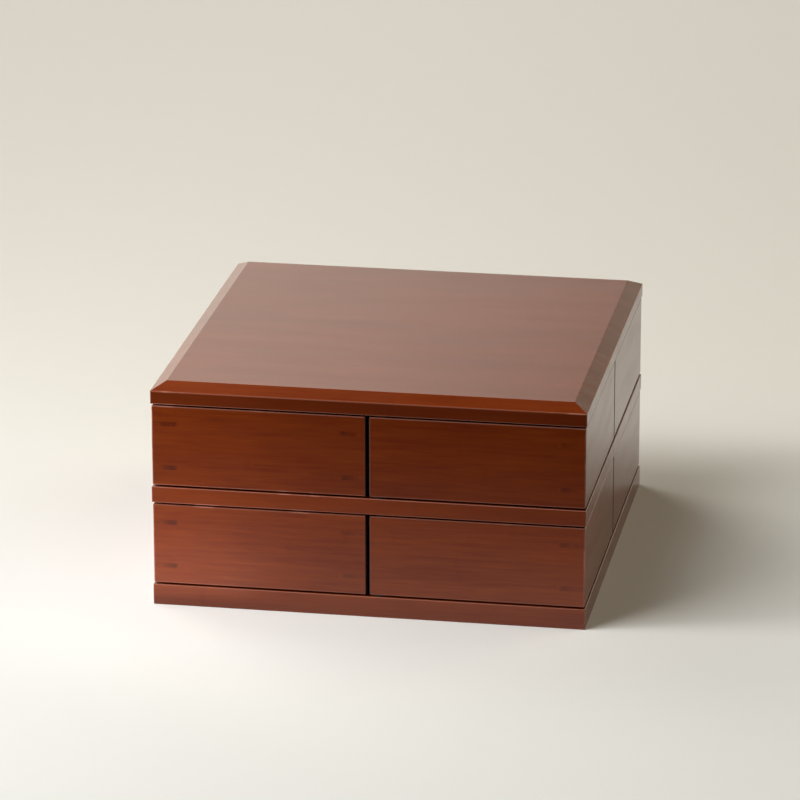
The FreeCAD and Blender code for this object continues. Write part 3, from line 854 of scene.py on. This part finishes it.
def rod_rings(sizes, low, high, head_radius, shank_radius, engagement):
    """Rings of a rod from the bottom of its hexagon socket to its threaded end."""
    flat = sizes.socket_width / 2

    def hexagon(angle):
        return flat / math.cos((angle + math.pi / 6) % (math.pi / 3) - math.pi / 6)

    def thread(height):
        def radius(angle):
            turn = (height / sizes.thread_pitch - angle / (2 * math.pi)) % 1.0
            return shank_radius - sizes.thread_depth * abs(2 * turn - 1) ** 0.8
        return radius

    rim = 0.4 * MM
    cone = 2.2 * MM
    ease = 0.12 * MM
    rings = [
        (low + sizes.socket_depth + 0.25 * flat, None),
        (low + sizes.socket_depth, lambda angle: 0.6 * hexagon(angle)),
        (low + sizes.socket_depth, hexagon),
        (low + 2 * ease, hexagon),
        (low + ease / 2, lambda angle: hexagon(angle) + ease),
        (low, flat * 1.5),
        (low, head_radius - 2 * ease),
        (low + ease / 3, head_radius - ease / 2),
        (low + ease, head_radius),
        (low + rim, head_radius),
        (low + rim + cone, shank_radius),
        (low + rim + cone + 2 * ease, shank_radius),
        (high - engagement - ease, shank_radius),
    ]
    steps = int(engagement / sizes.thread_pitch * THREAD_STEPS)
    rings += [
        (high - engagement + engagement * step / steps, thread(engagement * step / steps))
        for step in range(steps)
    ]
    return rings + [(high, shank_radius - sizes.thread_depth - ease), (high, None)]


class ROTATING_BOX_OT_rods(bpy.types.Operator):
    """Turn the four pivot rods: socket head, shank and thread"""

    bl_idname = "rotating_box.rods"
    bl_label = "Pivot rods"

    def execute(self, context):
        sizes = context.scene.box_sizes
        material = steel_material()
        thread_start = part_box("threaded_inserts")[0]
        for corner in CORNERS:
            node = corner + "_pivot_rod"
            foot, low, high = rod_axis(corner)
            left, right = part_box(node)
            head_radius = (right.x - left.x) / 2
            shank_radius = head_radius / 2
            rings = rod_rings(sizes, low, high, head_radius, shank_radius, high - thread_start.z)
            work = ring_mesh(rings, ROD_SIDES)
            bmesh.ops.translate(work, verts=work.verts, vec=foot)
            piece = to_object(work, node + "_turned")
            piece.data.shade_smooth()
            piece.data.set_sharp_from_angle(angle=SHARP_FROM)
            store_vectors(piece, "from_centre", [vertex.co - foot for vertex in piece.data.vertices])
            seat_piece(piece, node, material)
        return {"FINISHED"}


def make_ring_tree():
    """Geometry Nodes: a ring of square section with eased edges on every point, ridged outside."""
    tree, given, result = new_group("GeometryNodeTree", "Rings On Rods", {
        "Points": ("Geometry", None),
        "Outer Diameter": ("Float", 8 * MM),
        "Bore Diameter": ("Float", 4 * MM),
        "Thickness": ("Float", 1 * MM),
        "Edge Radius": ("Float", 0.1 * MM),
        "Ridges": ("Int", 0),
        "Ridge Depth": ("Float", 0.0),
        "Steps": ("Int", 48),
        "Material": ("Material", None),
    }, {"Rings": ("Geometry", None)})
    total = calc(tree, "ADD", given["Outer Diameter"], given["Bore Diameter"])
    wide = calc(tree, "SUBTRACT", given["Outer Diameter"], given["Bore Diameter"])
    path = add_node(tree, "GeometryNodeCurvePrimitiveCircle", {
        "Resolution": given["Steps"], "Radius": calc(tree, "DIVIDE", total, 4.0)})
    section = add_node(tree, "GeometryNodeCurvePrimitiveQuadrilateral", {
        "Width": calc(tree, "DIVIDE", wide, 2.0), "Height": given["Thickness"]})
    eased = add_node(tree, "GeometryNodeFilletCurve", {
        "Curve": section.outputs[0], "Radius": given["Edge Radius"]})
    ring = add_node(tree, "GeometryNodeCurveToMesh", {
        "Curve": path.outputs[0], "Profile Curve": eased.outputs[0]})
    place = add_node(tree, "GeometryNodeInputPosition").outputs[0]
    x, y, z = split(tree, place)
    angle = calc(tree, "ARCTAN2", y, x)
    reach = calc(tree, "SQRT", calc(tree, "ADD", calc(tree, "MULTIPLY", x, x), calc(tree, "MULTIPLY", y, y)))
    outside = calc(tree, "GREATER_THAN", reach, calc(tree, "DIVIDE", total, 4.0))
    wave = calc(tree, "SINE", calc(tree, "MULTIPLY", angle, given["Ridges"]))
    depth = calc(tree, "MULTIPLY", calc(tree, "MULTIPLY_ADD", wave, 0.5, 0.5), given["Ridge Depth"])
    inward = calc(tree, "MULTIPLY", outside, calc(tree, "DIVIDE", depth, reach))
    shift = add_node(tree, "ShaderNodeCombineXYZ", {
        "X": calc(tree, "MULTIPLY", x, calc(tree, "MULTIPLY", inward, -1.0)),
        "Y": calc(tree, "MULTIPLY", y, calc(tree, "MULTIPLY", inward, -1.0))})
    ridged = add_node(tree, "GeometryNodeSetPosition", {
        "Geometry": ring.outputs[0], "Offset": shift.outputs[0]})
    smooth = add_node(tree, "GeometryNodeSetShadeSmooth", {"Geometry": ridged.outputs[0]})
    copies = add_node(tree, "GeometryNodeInstanceOnPoints", {
        "Points": given["Points"], "Instance": smooth.outputs[0]})
    real = add_node(tree, "GeometryNodeRealizeInstances", {"Geometry": copies.outputs[0]})
    dressed = add_node(tree, "GeometryNodeSetMaterial", {
        "Geometry": real.outputs[0], "Material": given["Material"]})
    feed(tree, result["Rings"], dressed.outputs[0])
    return tree


def grow_rings(node, name, points, values):
    """Rings on points by Geometry Nodes, turned into one plain mesh for their node."""
    tree = bpy.data.node_groups.get("Rings On Rods") or make_ring_tree()
    mesh = bpy.data.meshes.new(name)
    mesh.from_pydata(points, [], [])
    piece = add_object(name, mesh)
    modifier = piece.modifiers.new("rings", "NODES")
    modifier.node_group = tree
    for item in tree.interface.items_tree:
        if item.item_type == "SOCKET" and item.in_out == "INPUT" and item.name in values:
            modifier[item.identifier] = values[item.name]
    settle(piece)
    piece.data.set_sharp_from_angle(angle=RING_SHARP_FROM)
    seat_piece(piece, node, values["Material"])


def ring_places(node):
    """Feet of the four rods, and the outer diameter of the node's rings on them."""
    feet = [rod_axis(corner)[0] for corner in CORNERS]
    return feet, 2 * (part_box(node)[1].x - max(foot.x for foot in feet))


class ROTATING_BOX_OT_washers(bpy.types.Operator):
    """Lay a washer on the base plate and on the middle plate at each rod"""

    bl_idname = "rotating_box.washers"
    bl_label = "Washers"

    def execute(self, context):
        sizes = context.scene.box_sizes
        base_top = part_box("base_plate")[1].z
        middle_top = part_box("middle_plate")[1].z
        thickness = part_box("spacer_washers")[1].z - middle_top
        feet, outer = ring_places("spacer_washers")
        points = [foot + Vector((0, 0, level + thickness / 2))
                  for level in (base_top, middle_top) for foot in feet]
        nylon = plain_material("Moulded nylon", context.scene.box_finish.nylon, 0.4 * MM, 0.5, 0.0)
        grow_rings("spacer_washers", "spacer_washers_moulded", points, {
            "Outer Diameter": outer, "Bore Diameter": sizes.ring_bore, "Thickness": thickness,
            "Edge Radius": sizes.washer_edge, "Steps": WASHER_STEPS, "Material": nylon})
        return {"FINISHED"}


class ROTATING_BOX_OT_inserts(bpy.types.Operator):
    """Set the ridged threaded inserts into the lid's underside"""

    bl_idname = "rotating_box.inserts"
    bl_label = "Threaded inserts"

    def execute(self, context):
        sizes = context.scene.box_sizes
        low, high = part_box("threaded_inserts")
        feet, outer = ring_places("threaded_inserts")
        points = [foot + Vector((0, 0, (low.z + high.z) / 2)) for foot in feet]
        brass = plain_material("Turned brass", context.scene.box_finish.brass, 1.5 * MM, 0.3, 1.0)
        grow_rings("threaded_inserts", "threaded_inserts_ridged", points, {
            "Outer Diameter": outer, "Bore Diameter": sizes.ring_bore, "Thickness": high.z - low.z,
            "Edge Radius": sizes.insert_edge, "Ridges": sizes.insert_ridges,
            "Ridge Depth": sizes.insert_ridge_depth, "Steps": RIDGE_STEPS * sizes.insert_ridges,
            "Material": brass})
        return {"FINISHED"}


class SoftPatch(NamedTuple):
    """A bright part of the room, in degrees round from the back to the right and up.
    A screen shows in the lacquer and gives no light, as a white wall far behind would."""

    name: str
    is_screen: bool
    azimuth: float
    elevation: float
    half_width: float
    half_height: float
    colour: tuple


class Lamp(NamedTuple):
    """An area lamp: its middle, the point that it faces, its two sizes, power, colour and
    spread in degrees, and whether it shows in the lacquer."""

    name: str
    place: tuple
    faces: tuple
    size: tuple
    power: float
    colour: tuple
    spread: float = 180
    in_lacquer: bool = True


ROOM = (
    SoftPatch("low screen behind", True, -5, 2, 50, 16, (1.26, 1.26, 1.1)),
    SoftPatch("screen at the back right", True, 18, 20, 22, 12, (0.1, 0.14, 0.08)),
    SoftPatch("low screen at the right", True, 70, 10, 30, 18, (1.6, 1.4, 1.1)),
    SoftPatch("screen at the back left", True, -40, 24, 22, 14, (1.58, 1.74, 1.68)),
    SoftPatch("screen behind", True, -26, 22, 24, 12, (1.17, 1.13, 1.0)),
    SoftPatch("high screen in front", True, -165, 60, 55, 30, (1.6, 1.55, 1.45)),
    SoftPatch("window", False, -125, 49, 27, 32, (4.65, 4.58, 4.42)),
    SoftPatch("high at the left", False, -90, 68, 60, 24, (0.63, 0.62, 0.6)),
    SoftPatch("wall at the back left", False, -54, 28, 24, 25, (2.8, 2.7, 2.4)),
    SoftPatch("high at the right", False, 62, 48, 38, 26, (1.5, 1.33, 0.97)),
)

LAMPS = (
    Lamp("high_left_lamp", (-0.46, -0.22, 0.6), (-0.05, 0, 0.1), (0.2, 0.2), 1.85, (1.0, 0.98, 0.94)),
    Lamp("left_edge_lamp", (-0.27, -0.18, 0.17), (-0.08, -0.1, 0.08), (0.08, 0.08), 0.05,
         (1.0, 0.96, 0.92), 80),
    Lamp("front_card_left", (-0.13, -0.16, 0.002), (-0.13, -0.16, 1), (0.14, 0.09), 0.11, (1, 1, 1),
         in_lacquer=False),
    Lamp("front_card", (0, -0.145, 0.002), (0, -0.145, 1), (0.42, 0.05), 0.04, (1, 1, 1),
         in_lacquer=False),
)


def make_patch_group():
    """A soft patch of the room: 1 in its middle, 0 outside its half width and half height."""
    tree, given, result = new_group("ShaderNodeTree", "Soft Patch", {
        "Azimuth": ("Float", 0.0),
        "Elevation": ("Float", 0.0),
        "At Azimuth": ("Float", 0.0),
        "At Elevation": ("Float", 0.0),
        "Half Width": ("Float", 1.0),
        "Half Height": ("Float", 1.0),
    }, {"Share": ("Float", None)})
    shares = []
    for way, reach in (("Azimuth", "Half Width"), ("Elevation", "Half Height")):
        away = calc(tree, "ABSOLUTE", calc(tree, "SUBTRACT", given[way], given["At " + way]))
        shares.append(fade(tree, away, given[reach], calc(tree, "MULTIPLY", given[reach], 0.5)))
    feed(tree, result["Share"], calc(tree, "MULTIPLY", *shares))


def make_surroundings(look):
    """A room round the stage: soft bright patches on a dim ground."""
    world = bpy.data.worlds.new("Studio room")
    bpy.context.scene.world = world
    world.use_nodes = True
    tree = world.node_tree
    tree.nodes.clear()
    x, y, z = split(tree, add_node(tree, "ShaderNodeTexCoord").outputs["Generated"])
    azimuth = calc(tree, "ARCTAN2", x, y)
    elevation = calc(tree, "ARCSINE", z)
    lights = ROOM_GROUND
    screens = (0.0, 0.0, 0.0)
    for patch in ROOM:
        share = fill_group(tree, "Soft Patch", {
            "Azimuth": azimuth, "Elevation": elevation,
            "At Azimuth": math.radians(patch.azimuth),
            "At Elevation": math.radians(patch.elevation),
            "Half Width": math.radians(patch.half_width),
            "Half Height": math.radians(patch.half_height)})["Share"]
        if patch.is_screen:
            screens = vector_calc(tree, "MULTIPLY_ADD", share, patch.colour, screens)
        else:
            lights = vector_calc(tree, "MULTIPLY_ADD", share, patch.colour, lights)
    path = add_node(tree, "ShaderNodeLightPath").outputs
    seen = calc(tree, "MAXIMUM", path["Is Glossy Ray"], path["Is Transmission Ray"])
    colour = vector_calc(tree, "MULTIPLY_ADD", seen, screens, lights)
    background = add_node(tree, "ShaderNodeBackground", {
        "Color": colour, "Strength": look.room_strength})
    output = tree.nodes.new("ShaderNodeOutputWorld")
    tree.links.new(background.outputs[0], output.inputs["Surface"])


def floor_material(look):
    """Pale matt floor, drawn darker towards the right as painted shade. Ahead of the box it fades out to
    painted shade for all but the camera's view.
    """
    material, tree, shader = new_material("Pale floor")
    place = add_node(tree, "ShaderNodeTexCoord").outputs["Object"]
    x, y, z = split(tree, place)
    colour = blend_colours(tree, fade(tree, y, -0.25, 0.35), look.floor_front, look.floor_back)
    # Painted shade: the floor drawn darker towards the right
    shaded_at_right = vector_calc(tree, "MULTIPLY", colour, FLOOR_SHADE_AT_RIGHT)
    colour = blend_colours(tree, fade(tree, x, -0.3, 0.35), colour, shaded_at_right)
    mottle = noise(tree, place, (60, 60, 60), detail=4.0)
    dimmed = vector_calc(tree, "MULTIPLY", colour, (0.985, 0.985, 0.985))
    feed(tree, shader.inputs["Base Color"], blend_colours(tree, mottle, dimmed, colour))
    shader.inputs["Roughness"].default_value = 0.9
    shader.inputs["Specular IOR Level"].default_value = 0.1
    # Painted shade: ahead of the box the floor turns nearly black to every ray but the camera's, so the
    # box's front mirrors and catches less of it
    ahead = calc(tree, "SUBTRACT", CAD_BOUNDS[0][1], y)
    reach = calc(tree, "MULTIPLY_ADD", x, -0.3, 0.32)
    left_over = calc(tree, "SUBTRACT", 1.0, add_node(tree, "ShaderNodeClamp", {
        0: calc(tree, "DIVIDE", ahead, reach)}).outputs[0])
    gone = calc(tree, "SUBTRACT", 1.0, calc(tree, "POWER", left_over, 2.0))
    seen = add_node(tree, "ShaderNodeLightPath").outputs["Is Camera Ray"]
    dark = add_node(tree, "ShaderNodeBsdfDiffuse", {"Color": FLOOR_IN_SHADE})
    mixed = add_node(tree, "ShaderNodeMixShader", {
        0: calc(tree, "MULTIPLY", gone, calc(tree, "SUBTRACT", 1.0, seen)),
        1: shader.outputs[0], 2: dark.outputs[0]})
    output = next(node for node in tree.nodes if node.type == "OUTPUT_MATERIAL")
    tree.links.new(mixed.outputs[0], output.inputs["Surface"])
    return material


def make_floor(look):
    """A wide round floor that the base plate rests on."""
    work = bmesh.new()
    bmesh.ops.create_circle(work, cap_ends=True, segments=96, radius=FLOOR_RADIUS)
    floor = to_object(work, "floor")
    floor.data.transform(Matrix.Translation((0, 0, -FLOOR_DROP)))
    floor.data.materials.append(floor_material(look))


def make_lamps(look):
    """Soft lamps that the camera doesn't see."""
    for lamp in LAMPS:
        data = bpy.data.lights.new(lamp.name, "AREA")
        data.shape = "RECTANGLE"
        data.size, data.size_y = lamp.size
        data.energy = lamp.power * look.lamp_strength
        data.color = lamp.colour
        data.spread = math.radians(lamp.spread)
        light = add_object(lamp.name, data)
        light.visible_camera = False
        light.visible_glossy = lamp.in_lacquer
        place = Vector(lamp.place)
        turn = (place - Vector(lamp.faces)).to_track_quat("Z", "Y")
        light.matrix_world = Matrix.Translation(place) @ turn.to_matrix().to_4x4()


def make_camera(look):
    """The photograph's viewpoint: right of the front, looking down on the box's middle."""
    yaw, pitch, roll = look.view_azimuth, look.view_elevation, look.view_roll
    forward = Vector((-math.sin(yaw) * math.cos(pitch), math.cos(yaw) * math.cos(pitch), -math.sin(pitch)))
    right = Vector((math.cos(yaw), math.sin(yaw), 0))
    down = forward.cross(right)
    right, down = (
        math.cos(roll) * right + math.sin(roll) * down,
        math.cos(roll) * down - math.sin(roll) * right)
    low, high = CAD_BOUNDS
    middle = Vector((0, 0, 0.5 * (low[2] + high[2])))
    eye = middle - look.view_offset[0] * right - look.view_offset[1] * down - look.view_distance * forward
    data = bpy.data.cameras.new("camera")
    data.sensor_width = 36
    data.lens = look.view_lens
    data.clip_end = 100
    camera = add_object("camera", data)
    turn = Matrix((right, -down, -forward)).transposed().to_4x4()
    camera.matrix_world = Matrix.Translation(eye) @ turn
    bpy.context.scene.camera = camera


class ROTATING_BOX_OT_stage(bpy.types.Operator):
    """Set up the camera, the lamps, the room and the floor"""

    bl_idname = "rotating_box.stage"
    bl_label = "Stage"

    def execute(self, context):
        look = context.scene.box_stage
        context.scene.view_settings.view_transform = "Standard"
        make_surroundings(look)
        make_floor(look)
        make_lamps(look)
        make_camera(look)
        return {"FINISHED"}


class ROTATING_BOX_PT_sidebar(bpy.types.Panel):
    """Steps and values of the rotating storage box"""

    bl_idname = "ROTATING_BOX_PT_sidebar"
    bl_label = "Rotating Storage Box"
    bl_space_type = "VIEW_3D"
    bl_region_type = "UI"
    bl_category = "Rotating Box"

    def draw(self, context):
        for name in GROUPS:
            values = getattr(context.scene, name)
            column = self.layout.column()
            for value in values.bl_rna.properties:
                if value.identifier not in ("rna_type", "name"):
                    column.prop(values, value.identifier)
        for operator in OPERATORS:
            self.layout.operator(operator.bl_idname)


OPERATORS = (
    ROTATING_BOX_OT_plates, ROTATING_BOX_OT_box_walls, ROTATING_BOX_OT_corner_keys,
    ROTATING_BOX_OT_floor_panels, ROTATING_BOX_OT_rods, ROTATING_BOX_OT_washers,
    ROTATING_BOX_OT_inserts, ROTATING_BOX_OT_stage,
)
GROUPS = {"box_sizes": BoxSizes, "box_finish": BoxFinish, "box_stage": StageLook}


def register():
    for group in GROUPS.values():
        bpy.utils.register_class(group)
    for name, group in GROUPS.items():
        setattr(bpy.types.Scene, name, bpy.props.PointerProperty(type=group))
    for operator in OPERATORS:
        bpy.utils.register_class(operator)
    bpy.utils.register_class(ROTATING_BOX_PT_sidebar)


def unregister():
    bpy.utils.unregister_class(ROTATING_BOX_PT_sidebar)
    for operator in reversed(OPERATORS):
        bpy.utils.unregister_class(operator)
    for name, group in GROUPS.items():
        delattr(bpy.types.Scene, name)
        bpy.utils.unregister_class(group)


def main():
    register()
    make_bamboo_group()
    make_arris_group()
    make_lacquer_group()
    make_patch_group()
    bpy.ops.rotating_box.stage()
    bpy.ops.rotating_box.plates()
    bpy.ops.rotating_box.box_walls()
    bpy.ops.rotating_box.corner_keys()
    bpy.ops.rotating_box.floor_panels()
    bpy.ops.rotating_box.rods()
    bpy.ops.rotating_box.washers()
    bpy.ops.rotating_box.inserts()


if __name__ == "__main__":
    main()
